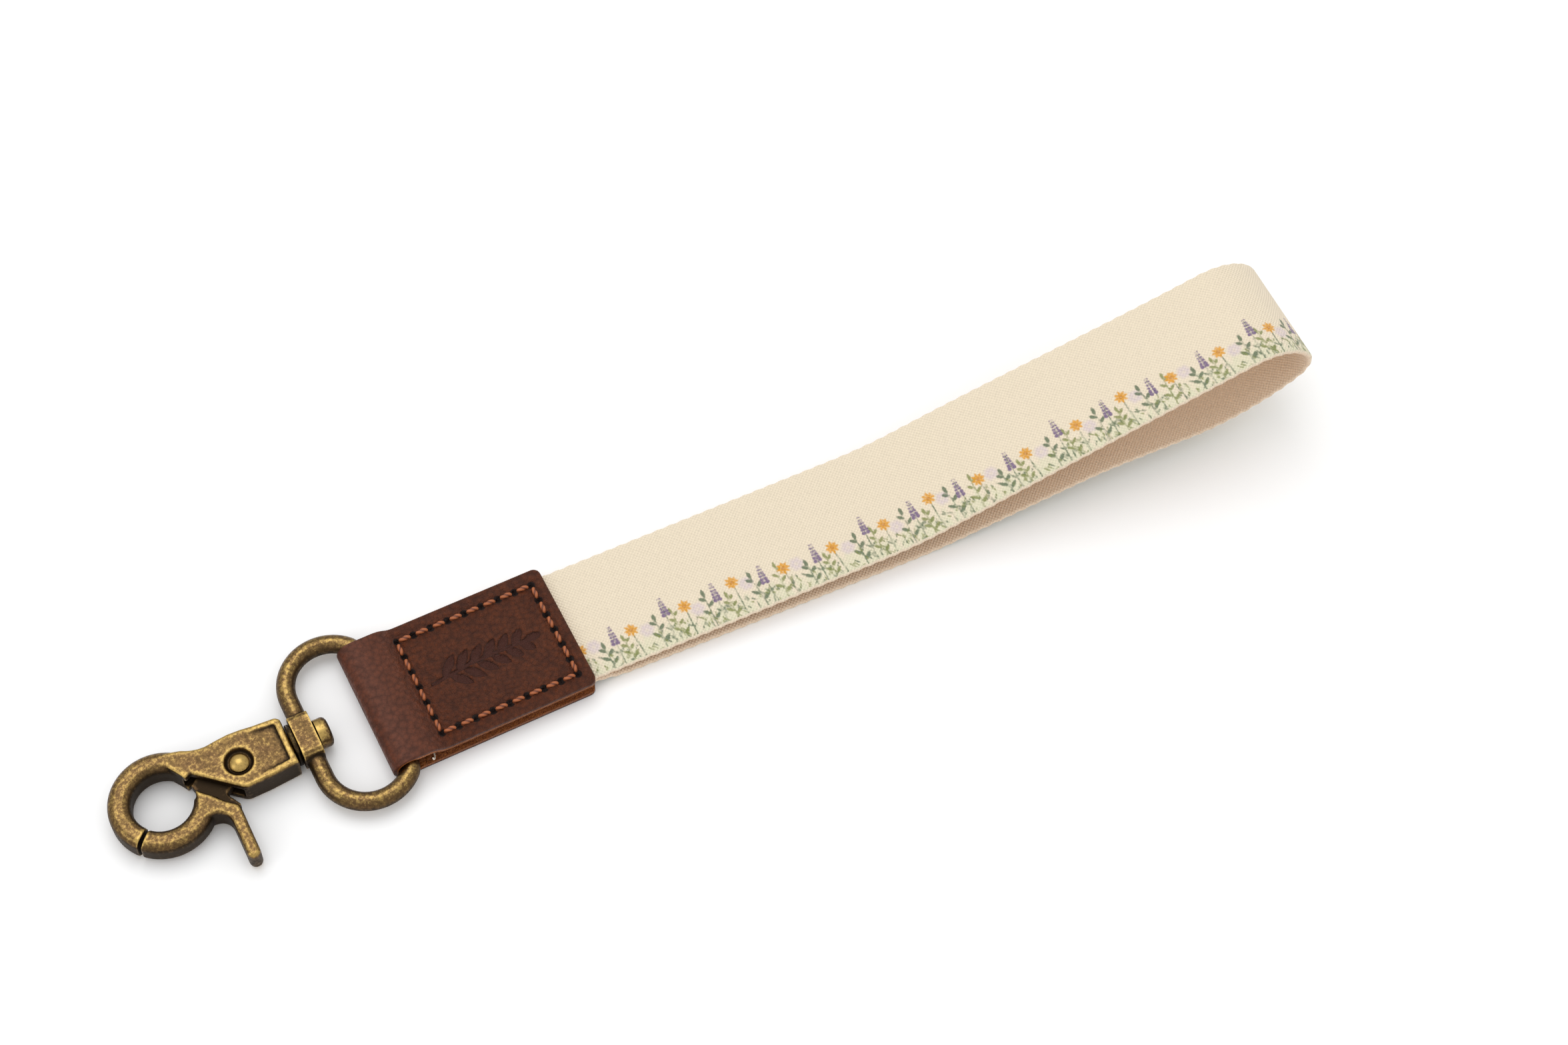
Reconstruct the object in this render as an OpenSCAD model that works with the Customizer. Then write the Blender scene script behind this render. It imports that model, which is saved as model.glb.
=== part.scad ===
// Wristlet keychain: a webbing wrist loop sewn into a folded leather tab, with an oval
// ring in the fold and a swivelling trigger snap hook on the ring.
// It lies flat on z = 0. +X runs from the hook to the far end of the wrist loop, +Z is up,
// and the origin is the centre of the leather tab's underside.

/* [Wrist strap] */
// Width of the webbing
strap_w = 25; // [20:0.5:26]
// Thickness of the webbing
strap_t = 1.2; // [0.8:0.1:1.6]
// Where the lower run lifts off the table, from the tab's centre
lift_x = 90; // [70:1:95]
// Where the lower run starts to bend up round the loop's end, from the tab's centre
bend_x = 155.8; // [150:0.2:190]
// Height of the lower run where the end bend starts
bend_z = 6.85; // [5:0.05:9]
// How far the strap points to the side of the tab's own line, in degrees
strap_yaw = -2.3; // [-4:0.1:4]

/* [Leather tab] */
// Length of the folded tab
tab_l = 43; // [38:0.5:50]
// Width of the tab
tab_w = 28; // [27:0.5:32]
// Thickness of the hide
hide_t = 1.35; // [1:0.05:1.6]
// Length of one stitch, from needle hole to needle hole
stitch_pitch = 3.6; // [3.4:0.1:3.7]
// Stitches along the tab
stitches_long = 8; // [6:1:8]
// Stitches across the tab
stitches_cross = 6; // [4:1:6]
// Diameter of the sewing thread
thread_d = 0.75; // [0.5:0.05:0.9]

/* [Oval ring] */
// Diameter of the ring's wire
wire_d = 3.7; // [3.4:0.1:3.8]
// Length of the ring across the tab
ring_len = 38.8; // [38:0.2:42]
// Outer radius of the ring's round ends
ring_r = 10.5; // [10:0.1:11]
// Width of the swivel boss across the ring's front bar
boss_w = 9.7; // [8:0.1:10]
// Length of the swivel boss along the post
boss_l = 4.1; // [3.6:0.1:4.4]

/* [Swivel hook] */
// Thickness of the cast hook
hook_t = 6.4; // [6:0.1:6.6]
// Inner radius of the hook's eye
eye_r = 5.8; // [5.4:0.1:6]
// Width of the cast band round the eye
band_w = 4.4; // [4:0.1:4.6]
// Distance from the gate's rivet to the middle of the eye
eye_reach = 15.8; // [15.6:0.1:16.2]
// Length of the gate's thumb lever, from the rivet's line
lever_reach = 19.2; // [16:0.1:20]
// Width of the thumb lever
lever_w = 2.6; // [2.2:0.1:3]
// Diameter of the swivel post
post_d = 3.4; // [3:0.1:3.6]
// Gap between the hook's nose and the gate
nose_gap = 0.4; // [0.3:0.05:0.6]

/* [Hidden] */
$fn = 64;
eps = 0.01;
bend_step = 5;            // degrees of turn between points on a drawn bend
brown = "#5b3a2e";
brass = "#8c7a3c";

// A route is a list of ["run", length] and ["bend", radius, turn], walked from a pose
// [x, z, heading]; a positive turn goes to the left.
function side(p, d) = [p[0] - d * sin(p[2]), p[1] + d * cos(p[2])];
function moved(p, s, f) =
    s[0] == "run"
        ? [p[0] + f * s[1] * cos(p[2]), p[1] + f * s[1] * sin(p[2]), p[2]]
        : let (d = sign(s[2]) * s[1], c = side(p, d), h = p[2] + f * s[2])
          [c[0] + d * sin(h), c[1] - d * cos(h), h];
function marks(s) = s[0] == "run" ? 1 : ceil(abs(s[2]) / bend_step);
function route(p, steps, i = 0) =
    i == len(steps) ? [p]
        : concat([for (k = [0 : marks(steps[i]) - 1]) moved(p, steps[i], k / marks(steps[i]))],
                 route(moved(p, steps[i], 1), steps, i + 1));
function last(list) = list[len(list) - 1];

// A band of thickness t and width w that follows a route in the XZ plane
module band(poses, t, w) {
    rotate([90, 0, 0])
        translate([0, 0, -w / 2])
            linear_extrude(w)
                polygon(concat([for (p = poses) side(p, -t / 2)],
                               [for (i = [len(poses) - 1 : -1 : 0]) side(poses[i], t / 2)]));
}

// A round cord of diameter d along points in space, with flat ends
module tube(points, d, sides = 8) {
    function along(i) = let (a = points[max(i - 1, 0)], b = points[min(i + 1, len(points) - 1)],
                             v = b - a) v / norm(v);
    function ring(i) = let (u = along(i),
                            ref = abs(u[2]) < 0.8 ? [0, 0, 1] : [0, 1, 0],
                            e = cross(u, ref) / norm(cross(u, ref)), g = cross(u, e))
        [for (k = [0 : sides - 1]) points[i] + d / 2 * (e * cos(360 * k / sides) + g * sin(360 * k / sides))];
    n = len(points);
    skin = [for (i = [0 : n - 2], k = [0 : sides - 1])
        let (a = i * sides + k, b = i * sides + (k + 1) % sides) each [[a, b, b + sides], [a, b + sides, a + sides]]];
    polyhedron(points = [for (i = [0 : n - 1]) each ring(i)],
               faces = concat([[for (k = [sides - 1 : -1 : 0]) k]], skin,
                              [[for (k = [0 : sides - 1]) (n - 1) * sides + k]]),
               convexity = 4);
}

// ---- Leather tab and fold
fold_x = -tab_l / 2;                       // the fold's outer face
play = 0.1;                                // room round the ring's bar
fold_r = wire_d / 2 + play;
pin_z = hide_t + fold_r;                   // height of the ring's bar
bar_x = fold_x + hide_t + wire_d / 2 + 0.4;
ply_gap = 0.1;                             // nap between the strap's two plies
stack_t = 2 * hide_t + 2 * strap_t + ply_gap;
ramp_x = fold_x + 7.5;                     // where the upper hide starts down to the strap
ramp_l = 4.5;
strap_end_x = fold_x + 12;                 // the strap's sewn ends
ramp_drop = 2 * pin_z - stack_t;
ramp_turn = 2 * atan(ramp_drop / ramp_l);
ramp_r = ramp_l / 2 / sin(ramp_turn);

module tab_plan() {
    r = 1.5;
    translate([fold_x - 1, -tab_w / 2]) square([tab_l + 1 - r, tab_w]);
    translate([tab_l / 2 - r - eps, -tab_w / 2 + r]) square([r + eps, tab_w - 2 * r]);
    for (s = [-1, 1])
        translate([tab_l / 2 - r, s * (tab_w / 2 - r)]) circle(r);
}

// The stitch line: one rectangle, walked from needle hole to needle hole
seam_x0 = fold_x + 11.4;
seam_x1 = seam_x0 + stitches_long * stitch_pitch;
seam_y = stitches_cross * stitch_pitch / 2;
bite = 0.3;                                // how far a stitch sinks into the upper hide
module each_stitch() {
    for (i = [0 : stitches_long - 1], s = [-1, 1])
        translate([seam_x0 + (i + 0.5) * stitch_pitch, s * seam_y, 0]) children();
    for (j = [0 : stitches_cross - 1], x = [seam_x0, seam_x1])
        translate([x, -seam_y + (j + 0.5) * stitch_pitch, 0]) rotate([0, 0, 90]) children();
}
stitch_l = stitch_pitch - 0.6;
module stitch_bed(z0, z1) {
    translate([-stitch_l / 2 - 0.05, -thread_d / 2 - 0.03, z0])
        cube([stitch_l + 0.1, thread_d + 0.06, z1 - z0]);
}
module stitch(z) {
    translate([-stitch_l / 2, 0, z]) rotate([0, 90, 0]) cylinder(h = stitch_l, d = thread_d);
}

module leather_tab() {
    hide = route([tab_l / 2 + 1, hide_t / 2, 180],
                 [["run", tab_l / 2 + 1 - (fold_x + pin_z)],
                  ["bend", fold_r + hide_t / 2, -180],
                  ["run", ramp_x - (fold_x + pin_z)],
                  ["bend", ramp_r, -ramp_turn],
                  ["bend", ramp_r, ramp_turn],
                  ["run", tab_l / 2 + 1 - (ramp_x + ramp_l)]]);
    mouth_w = 1.1;                         // the fold's ends open out round the ring's bends
    color(brown)
    difference() {
        intersection() {
            band(hide, hide_t, tab_w);
            translate([0, 0, -1]) linear_extrude(2 * pin_z + 2) tab_plan();
        }
        for (s = [-1, 1])
            translate([bar_x, s * (tab_w / 2 - mouth_w), pin_z]) rotate([-s * 90, 0, 0])
                cylinder(h = mouth_w + 0.1, r1 = fold_r, r2 = fold_r + 0.65);
        each_stitch() stitch_bed(stack_t - bite, stack_t + 1);
        each_stitch() stitch_bed(-1, thread_d + 0.05);
    }
}

module tab_stitching() {
    color("#b5683a") {
        each_stitch() stitch(stack_t - bite + thread_d / 2);
        each_stitch() stitch(thread_d / 2 + 0.02);
    }
}

module thread_tail() {
    x = fold_x + 8.4;
    y = -tab_w / 2;
    color("ivory")
        tube([[x + 0.6, y + 2.6, 1.9], [x + 0.5, y + 1.6, 1.8], [x + 0.3, y + 0.7, 1.9],
              [x, y + 0.1, 2.3], [x - 0.3, y - 0.2, 3.0], [x - 0.4, y - 0.2, 3.8]], 0.35);
}

// ---- Wrist strap: one band, out along the table, round the end and back above itself
mouth_x = tab_l / 2 + 0.5;
low_z = hide_t + strap_t / 2;
high_z = low_z + strap_t + ply_gap;
slope = 16.4;                              // how steeply the upper run comes down
easy = 2.5;                                // and how gently it runs on to the tab
dip_r = 12;
dip = acos(1 - (low_z - strap_t / 2) / 2 / dip_r);
lift = 9;
lift_r = 80;
ease_r = 60;
lower = [["run", mouth_x - strap_end_x], ["bend", dip_r, -dip], ["bend", dip_r, dip],
         ["run", lift_x - mouth_x - 2 * dip_r * sin(dip)],
         ["bend", lift_r, lift],
         ["run", (bend_z - strap_t / 2 - 2 * lift_r * (1 - cos(lift))) / sin(lift)],
         ["bend", lift_r, -lift]];
lower_end = last(route([strap_end_x, low_z, 0], lower));
loop_end = [["run", bend_x - lower_end[0]], ["bend", 37, 40], ["bend", 5.3, 80],
            ["bend", 12.5, 60 + slope]];
top_end = last(route(lower_end, loop_end));
// The upper run has two straight stretches, whose lengths bring it back to the tab's mouth
fall_z = top_end[1] - high_z - ease_r * (1 - cos(slope));
fall_x = top_end[0] - mouth_x - ease_r * sin(slope);
det = sin(slope) * cos(easy) - cos(slope) * sin(easy);
steep_l = (fall_z * cos(easy) - fall_x * sin(easy)) / det;
easy_l = (fall_x * sin(slope) - fall_z * cos(slope)) / det;
upper = [["run", steep_l], ["bend", ease_r, easy - slope], ["run", easy_l],
         ["bend", ease_r, -easy], ["run", mouth_x - strap_end_x]];

module strap() {
    loop = route([strap_end_x, low_z, 0], concat(lower, loop_end, upper));
    color("#f0e0c4")
        translate([mouth_x, 0, 0]) rotate([0, 0, strap_yaw]) translate([-mouth_x, 0, 0])
            band(loop, strap_t, strap_w);
}

// ---- Oval ring: a straight bar in the fold, round ends, and a front bar with the boss
wire_r = wire_d / 2;
end_r = ring_r - wire_r;                   // centre line of the round ends
end_y = ring_len / 2 - ring_r;             // their centres
turn_r = 2.6;                              // the tighter bend into the fold's bar
turn_a = 45;
end_x = bar_x - turn_r - (end_r - turn_r) * cos(turn_a);
turn_x = bar_x - turn_r;
turn_y = end_y + (end_r - turn_r) * sin(turn_a);
front_x = end_x - end_r;                   // the front bar
post_r = post_d / 2;
running = 0.07;                            // radial clearance of a turning fit
boss_x = front_x - 0.1 - boss_l / 2;
boss_h = hook_t - 0.2;

module bent_wire(r, from, turn) {
    rotate([0, 0, from]) rotate_extrude(angle = turn) translate([r, 0]) circle(wire_r);
}
// Half of the wire, from the middle of one bar round to the middle of the other
module half_wire() {
    translate([turn_x, turn_y, 0]) bent_wire(turn_r, 0, turn_a);
    translate([end_x, end_y, 0]) bent_wire(end_r, turn_a, 180 - turn_a);
    translate([bar_x, turn_y, 0]) rotate([90, 0, 0]) cylinder(h = turn_y, r = wire_r);
    translate([front_x, end_y, 0]) rotate([90, 0, 0]) rotate([0, 0, 180]) cylinder(h = end_y, r = wire_r);
}
module oval_ring() {
    chamfer = 1.2;
    color(brass)
    translate([0, 0, pin_z])
    difference() {
        union() {
            half_wire();
            rotate([180, 0, 0]) half_wire();
            translate([boss_x, 0, 0]) rotate([90, 0, 90])
                linear_extrude(boss_l) chamfered(boss_w, boss_h, chamfer);
        }
        translate([boss_x - 1, 0, 0]) rotate([0, 90, 0])
            cylinder(h = boss_l + 2, r = post_r + running);
    }
}
module chamfered(w, h, c) {
    polygon([for (s = [[1, 1], [-1, 1], [-1, -1], [1, -1]])
        each (s[0] * s[1] > 0 ? [[s[0] * w / 2, s[1] * (h / 2 - c)], [s[0] * (w / 2 - c), s[1] * h / 2]]
                              : [[s[0] * (w / 2 - c), s[1] * h / 2], [s[0] * w / 2, s[1] * (h / 2 - c)]])]);
}

// ---- Swivel hook, drawn round the gate's rivet and half way up its thickness
body_end_x = boss_x - 1.1;                 // the hook's end face, beside the ring's boss
rivet_x = body_end_x - 10.2;
eye = [-eye_reach, -0.9];
eye_out = eye_r + band_w;
half_t = hook_t / 2;
slot_t = 3;                                // room between the hook's two cheeks
rivet_r = 1.3;
root_a = 34;                               // where the round band leaves the cheeks, round the eye
nose_a = 222;                              // and where it ends
socket_l = 4;

module at_hook() {
    translate([rivet_x, 0, pin_z]) children();
}
function polar(c, r, a) = [c[0] + r * cos(a), c[1] + r * sin(a)];
function arc(c, r, a0, a1, n) = [for (i = [0 : n]) polar(c, r, a0 + (a1 - a0) * i / n)];

// The cast band round the eye has an upright inner land and sloping shoulders
module eye_band(from, turn, t) {
    rotate([0, 0, from]) rotate_extrude(angle = turn)
        polygon([[eye_r, -0.32 * t], [eye_r + 1.1, -t / 2], [eye_out - 1.2, -t / 2],
                 [eye_out, -0.28 * t], [eye_out, 0.28 * t], [eye_out - 1.2, t / 2],
                 [eye_r + 1.1, t / 2], [eye_r, 0.32 * t]]);
}
module upright(t) {
    translate([0, 0, -t / 2]) linear_extrude(t) children();
}
module rivet_dome(r, h) {
    ball = (r * r + h * h) / 2 / h;
    intersection() {
        translate([0, 0, h - ball]) sphere(ball);
        cylinder(h = h + 1, r = r + 1);
    }
}

module hook_body() {
    cheek = concat([[10.2, -5], [-0.9, -5.6], [-9.1, 1.6]],
                   [polar(eye, eye_r - 1, 24), polar(eye, eye_r - 1, 50), polar(eye, eye_out - 0.6, 62)],
                   [[-9.0, 7.0], [-7.2, 6.2], [-4.6, 5.8], [0, 6.3], [4.8, 5.9], [9.4, 5.6], [10.2, 4.9]]);
    slot = [[-10.4, 2.2], [-6.5, 4], [3.2, 4], [4.5, 2.8], [4.5, -3.2], [3.4, -4.3], [-0.8, -4.3],
            [-2.4, -8], [-14, -4]];
    color(brass)
    at_hook() difference() {
        union() {
            translate([eye[0], eye[1], 0]) eye_band(root_a, nose_a - root_a, hook_t - 0.1);
            upright(hook_t) polygon(cheek);
        }
        translate([eye[0], eye[1], -half_t - 1]) cylinder(h = hook_t + 2, r = eye_r);
        upright(slot_t) polygon(slot);
        translate([0, 0, -half_t - 1]) cylinder(h = hook_t + 2, r = rivet_r);
        translate([0, 0, half_t - 0.5]) cylinder(h = 1, r = 3);
        translate([0, 0, -half_t - 1]) cylinder(h = 1.6, r = 2);
        translate([10.2 - socket_l, 0, 0]) rotate([0, 90, 0]) cylinder(h = socket_l + 1, r = post_r);
    }
}

module gate_lever() {
    t = hook_t - 0.6;
    blade_t = slot_t - 0.6;
    hub_r = 3.4;
    lever_x = -4.3;
    tip_r = lever_w / 2;
    arch = [lever_x - tip_r - 2.8, -10.6];
    shoulder = concat([[-9.5, -1.5], [-6.9, -4.1], [-5.3, -6], [-3.7, -7.4],
                       [lever_x + tip_r, -8.7], [lever_x + tip_r, -12], [lever_x - tip_r, -12]],
                      arc(arch, 2.8, 0, 110, 6),
                      [polar(eye, eye_out - 1, -62), polar(eye, eye_r + 1.5, -50), polar(eye, eye_r + 0.6, -20)]);
    blade = [[-2.9, 1.6], [-9.2, -1.8], [-6.9, -4.4], [-3.4, -8], [-2.7, -7.3], [-4.3, -4.4], [-2.2, -2.55]];
    nose_turn = nose_gap / (eye_r + band_w / 2) * 180 / PI;
    color("#a08a48")
    at_hook() difference() {
        union() {
            translate([eye[0], eye[1], 0]) eye_band(nose_a + nose_turn, 340 - nose_a - nose_turn, t);
            upright(t) polygon(shoulder);
            upright(t - 0.4) {
                translate([lever_x - tip_r, -lever_reach + tip_r]) square([lever_w, lever_reach - tip_r - 9]);
                translate([lever_x, -lever_reach + tip_r]) circle(tip_r);
            }
            upright(blade_t) polygon(blade);
            translate([0, 0, -blade_t / 2]) cylinder(h = blade_t / 2, r = hub_r);
        }
        translate([eye[0], eye[1], -half_t]) cylinder(h = hook_t, r = eye_r);
        translate([0, 0, -half_t]) cylinder(h = hook_t, r = rivet_r + running);
        cylinder(h = half_t, r = hub_r);
    }
}

module gate_rivet() {
    color(brass)
    at_hook() {
        translate([0, 0, -half_t + 0.6]) cylinder(h = hook_t - 1.1, r = rivet_r);
        translate([0, 0, -half_t]) cylinder(h = 0.6, r = 2);
        translate([0, 0, half_t - 0.5]) rivet_dome(2.25, 0.8);
    }
}

// A torsion spring of two turns round the rivet, above the gate's hub
module gate_spring() {
    wire = 0.45;
    r = 2.2;
    turns = 2;
    per_turn = 20;
    pitch = 0.46;
    z0 = 0.28;
    coil = [for (i = [0 : turns * per_turn])
        [r * cos(200 + 360 * i / per_turn), r * sin(200 + 360 * i / per_turn), z0 + pitch * i / per_turn]];
    color("#c0b8a0")
    at_hook() tube(concat([[-3.1, 0.35, z0]], coil, [[-1.1, -2.9, z0 + turns * pitch]]), wire, 6);
}

module swivel_post() {
    head_l = 2.6;
    head_x = boss_x + boss_l + 0.15;
    tip_x = body_end_x - socket_l + 0.1;
    color(brass)
    translate([0, 0, pin_z]) {
        translate([tip_x, 0, 0]) rotate([0, 90, 0]) cylinder(h = head_x - tip_x, r = post_r);
        translate([head_x, 0, 0]) rotate([0, 90, 0]) {
            cylinder(h = head_l - 0.7, r = 3);
            translate([0, 0, head_l - 0.7]) cylinder(h = 0.7, r1 = 3, r2 = 2.2);
        }
    }
}

module swivel_washer() {
    color("#3a3222")
    translate([body_end_x + 0.2, 0, pin_z]) rotate([0, 90, 0])
        difference() {
            cylinder(h = 0.7, r = 4.2);
            translate([0, 0, -1]) cylinder(h = 3, r = post_r + 0.03);
        }
}

strap();
leather_tab();
tab_stitching();
thread_tail();
oval_ring();
hook_body();
gate_lever();
gate_rivet();
gate_spring();
swivel_post();
swivel_washer();
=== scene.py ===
# %% [markdown]
# # A wristlet keychain
# A loop of printed webbing is sewn into a folded leather tab. An oval brass ring turns in
# the fold, and a cast trigger snap hook swivels on the ring. The CAD model says where each
# part is and how it moves. This script gives the parts their finished shapes and surfaces.

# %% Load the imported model
import math

import bmesh
import bpy
import numpy as np
from mathutils import Matrix, Vector


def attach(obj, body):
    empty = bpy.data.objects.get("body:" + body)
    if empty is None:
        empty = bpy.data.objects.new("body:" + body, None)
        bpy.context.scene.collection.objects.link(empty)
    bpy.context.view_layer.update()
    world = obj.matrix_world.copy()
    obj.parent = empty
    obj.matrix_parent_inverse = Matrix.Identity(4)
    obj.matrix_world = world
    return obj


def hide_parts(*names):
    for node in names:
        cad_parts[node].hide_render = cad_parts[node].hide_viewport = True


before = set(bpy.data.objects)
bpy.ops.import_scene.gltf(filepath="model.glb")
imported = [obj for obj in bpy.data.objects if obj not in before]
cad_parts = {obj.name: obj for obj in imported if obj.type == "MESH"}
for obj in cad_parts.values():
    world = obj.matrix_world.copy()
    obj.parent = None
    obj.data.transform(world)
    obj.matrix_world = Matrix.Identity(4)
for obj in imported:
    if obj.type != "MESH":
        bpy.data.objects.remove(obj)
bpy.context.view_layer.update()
MM = 0.001

# %% [markdown]
# ## Camera, table and light
# The keychain lies on a white table and is seen from above its front left, with a short
# telephoto lens so that near and far parts keep their sizes. A product table has one large
# soft light overhead, a little behind the object, so that tops are bright, the faces
# towards the camera fall into shade, and shadows stay close and soft.

# %% Camera
CAMERA_AT = Vector((-72.6, -214.6, 463.9)) * MM
PITCH, HEADING, ROLL = (math.radians(a) for a in (60.52, 33.5, 6.78))

camera_data = bpy.data.cameras.new("camera")
camera_data.sensor_width = 36.0
camera_data.lens = 59.93
camera_data.clip_start = 0.01
camera = bpy.data.objects.new("camera", camera_data)
camera.matrix_world = (
    Matrix.Translation(CAMERA_AT)
    @ Matrix.Rotation(-HEADING, 4, "Z")
    @ Matrix.Rotation(math.pi / 2 - PITCH, 4, "X")
    @ Matrix.Rotation(ROLL, 4, "Z")
)
bpy.context.collection.objects.link(camera)
bpy.context.scene.camera = camera
bpy.context.scene.view_settings.view_transform = "Standard"
print("camera", [round(v, 3) for v in camera.location])


# %% Colour and node helpers
def linear(code):
    """An sRGB hex colour as the linear RGBA that a shader takes."""
    parts = [int(code[i:i + 2], 16) / 255 for i in (1, 3, 5)]
    return [p / 12.92 if p <= 0.04045 else ((p + 0.055) / 1.055) ** 2.4 for p in parts] + [1.0]


def add(tree, kind, inputs, **settings):
    """Adds a shader node: its settings, then what each socket holds. That is a value, a hex
    colour, a socket that feeds it, or a node whose first output feeds it."""
    made = tree.nodes.new("ShaderNode" + kind)
    for name, value in settings.items():
        setattr(made, name, value)
    for name, value in inputs.items():
        if isinstance(value, bpy.types.Node):
            value = value.outputs[0]
        if isinstance(value, bpy.types.NodeSocket):
            tree.links.new(value, made.inputs[name])
        else:
            made.inputs[name].default_value = linear(value) if isinstance(value, str) else value
    return made


def new_material(name):
    """An empty material with its tree, its shader and its output already joined."""
    made = bpy.data.materials.new(name)
    made.use_nodes = True
    tree = made.node_tree
    tree.nodes.clear()
    shader = add(tree, "BsdfPrincipled", {})
    add(tree, "OutputMaterial", {"Surface": shader.outputs["BSDF"]})
    return made, tree, shader


# The Mix node has one set of sockets for each kind of value, so colours go by number
FACTOR, COLOUR_A, COLOUR_B, COLOUR_OUT = 0, 6, 7, 2
print("cream as linear:", [round(v, 3) for v in linear("#f0e0c4")])

# %% Table and lights
table_finish, tree, shader = new_material("matt_white_table")
shader.inputs["Base Color"].default_value = linear("#fdfdfd")
shader.inputs["Roughness"].default_value = 0.9
shader.inputs["Specular IOR Level"].default_value = 0.1

bm = bmesh.new()
bmesh.ops.create_grid(bm, x_segments=1, y_segments=1, size=3.0)
table_mesh = bpy.data.meshes.new("table")
bm.to_mesh(table_mesh)
bm.free()
table = bpy.data.objects.new("table", table_mesh)
table_mesh.materials.append(table_finish)
bpy.context.collection.objects.link(table)


def softbox(name, at, size, power, aim=(0.04, 0.0, 0.0)):
    """A square area light that faces a point on the table."""
    data = bpy.data.lights.new(name, "AREA")
    data.shape = "SQUARE"
    data.size = size
    data.energy = power
    lamp = bpy.data.objects.new(name, data)
    lamp.location = at
    lamp.rotation_euler = (Vector(aim) - Vector(at)).to_track_quat("-Z", "Y").to_euler()
    bpy.context.collection.objects.link(lamp)


softbox("overhead", (0.0, 0.35, 0.95), 0.75, 2.9)
softbox("left_fill", (-0.8, 0.0, 0.5), 0.4, 0.6)

# The room is white overhead and greyer towards the horizon, which gives metal its dark flanks
world = bpy.data.worlds.new("studio")
bpy.context.scene.world = world
world.use_nodes = True
room = world.node_tree
way = add(room, "TexCoord", {}).outputs["Generated"]
upward = add(room, "SeparateXYZ", {"Vector": way}).outputs["Z"]
glow = add(room, "MapRange", {"Value": upward, "From Min": 0.0, "From Max": 0.8, "To Min": 0.69,
                              "To Max": 0.96})
room.links.new(glow.outputs[0], room.nodes["Background"].inputs["Strength"])
room.nodes["Background"].inputs["Color"].default_value = linear("#ffffff")

# %% [markdown]
# ## Shared ways of making a piece
# The webbing, the hide and the thread are all long things with one cross-section that
# follow a route, so one helper rolls a flat grid into a closed sleeve, and another walks
# a route of straight runs and bends. A sleeve keeps even, square faces, and each of its
# points knows how far along and across the material it lies. That is what a weave, a
# print or a grain has to follow, however the piece bends.


# %% Route and sleeve helpers
def walk(start, steps, spacing):
    """Follows runs and bends from a pose (x, z, heading). Gives the length, x, z and heading
    of points about `spacing` apart. A positive turn, in degrees, goes to the left."""
    x, z, heading = start
    marks = [(0.0, x, z, heading)]
    for kind, size, *turn in steps:
        angle = math.radians(turn[0]) if turn else 0.0
        span = size if kind == "run" else size * abs(angle)
        count = max(1, math.ceil(span / spacing))
        half = angle / count / 2
        chord = span / count if kind == "run" else 2 * size * math.sin(abs(half))
        for _ in range(count):
            x += chord * math.cos(heading + half)
            z += chord * math.sin(heading + half)
            heading += 2 * half
            marks.append((marks[-1][0] + span / count, x, z, heading))
    return np.array(marks).T


def rolled_grid(rows, section):
    """A grid with a row for each length in `rows` and a column for each point of the closed
    section. Gives the bmesh, and each vertex's length along, place across and height."""
    bm = bmesh.new()
    last_row, last_column = len(rows) - 1, len(section) - 1
    bmesh.ops.create_grid(bm, x_segments=last_row, y_segments=last_column, size=0.5)
    flat = np.array([v.co for v in bm.verts])
    row = np.rint((flat[:, 0] + 0.5) * last_row).astype(int)
    column = np.rint((flat[:, 1] + 0.5) * last_column).astype(int)
    return bm, np.asarray(rows)[row], *np.asarray(section)[column].T


def on_route(trail, s, n):
    """Where a point at length s and height n to the left of a route is, as x and z."""
    x, z, heading = (np.interp(s, trail[0], line) for line in trail[1:])
    return x - n * np.sin(heading), z + n * np.cos(heading)


def close_sleeve(bm, x, y, z, layers):
    """Puts the rolled grid's vertices in place, keeps named values on them, welds the
    seam and fills the two ends."""
    kept = {name: bm.verts.layers.float.new(name) for name in layers}
    for i, vert in enumerate(bm.verts):
        vert.co = (x[i], y[i], z[i])
        for name, layer in kept.items():
            vert[layer] = layers[name][i]
    bmesh.ops.remove_doubles(bm, verts=bm.verts, dist=0.004)
    bmesh.ops.holes_fill(bm, edges=[e for e in bm.edges if e.is_boundary], sides=0)
    bmesh.ops.recalc_face_normals(bm, faces=bm.faces)


def finish_piece(bm, name, body, finish, slot, *nodes):
    """Makes an object, in metres, of a bmesh drawn in mm. It rides on its body, and the CAD
    nodes that it replaces are hidden."""
    bmesh.ops.scale(bm, vec=(MM, MM, MM), verts=bm.verts)
    mesh = bpy.data.meshes.new(name)
    bm.to_mesh(mesh)
    bm.free()
    mesh.shade_smooth()
    mesh.set_sharp_from_angle(angle=math.radians(50))
    mesh.materials.append(finish)
    piece = bpy.data.objects.new(name, mesh)
    bpy.context.collection.objects.link(piece)
    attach(piece, body)
    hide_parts(*nodes)
    print(name, "has", len(mesh.polygons), "faces")


# %% [markdown]
# ## The wrist strap
# The strap is one length of 25 mm polyester webbing, about 1.2 mm thick. It leaves the tab,
# runs along the table, lifts into a round end and comes back above itself. Cloth
# simulation would only lose its crisp edges, so the band is a closed section carried
# along the same route as in the CAD. The columns are close together only under the
# printed border, which needs small faces.

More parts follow.
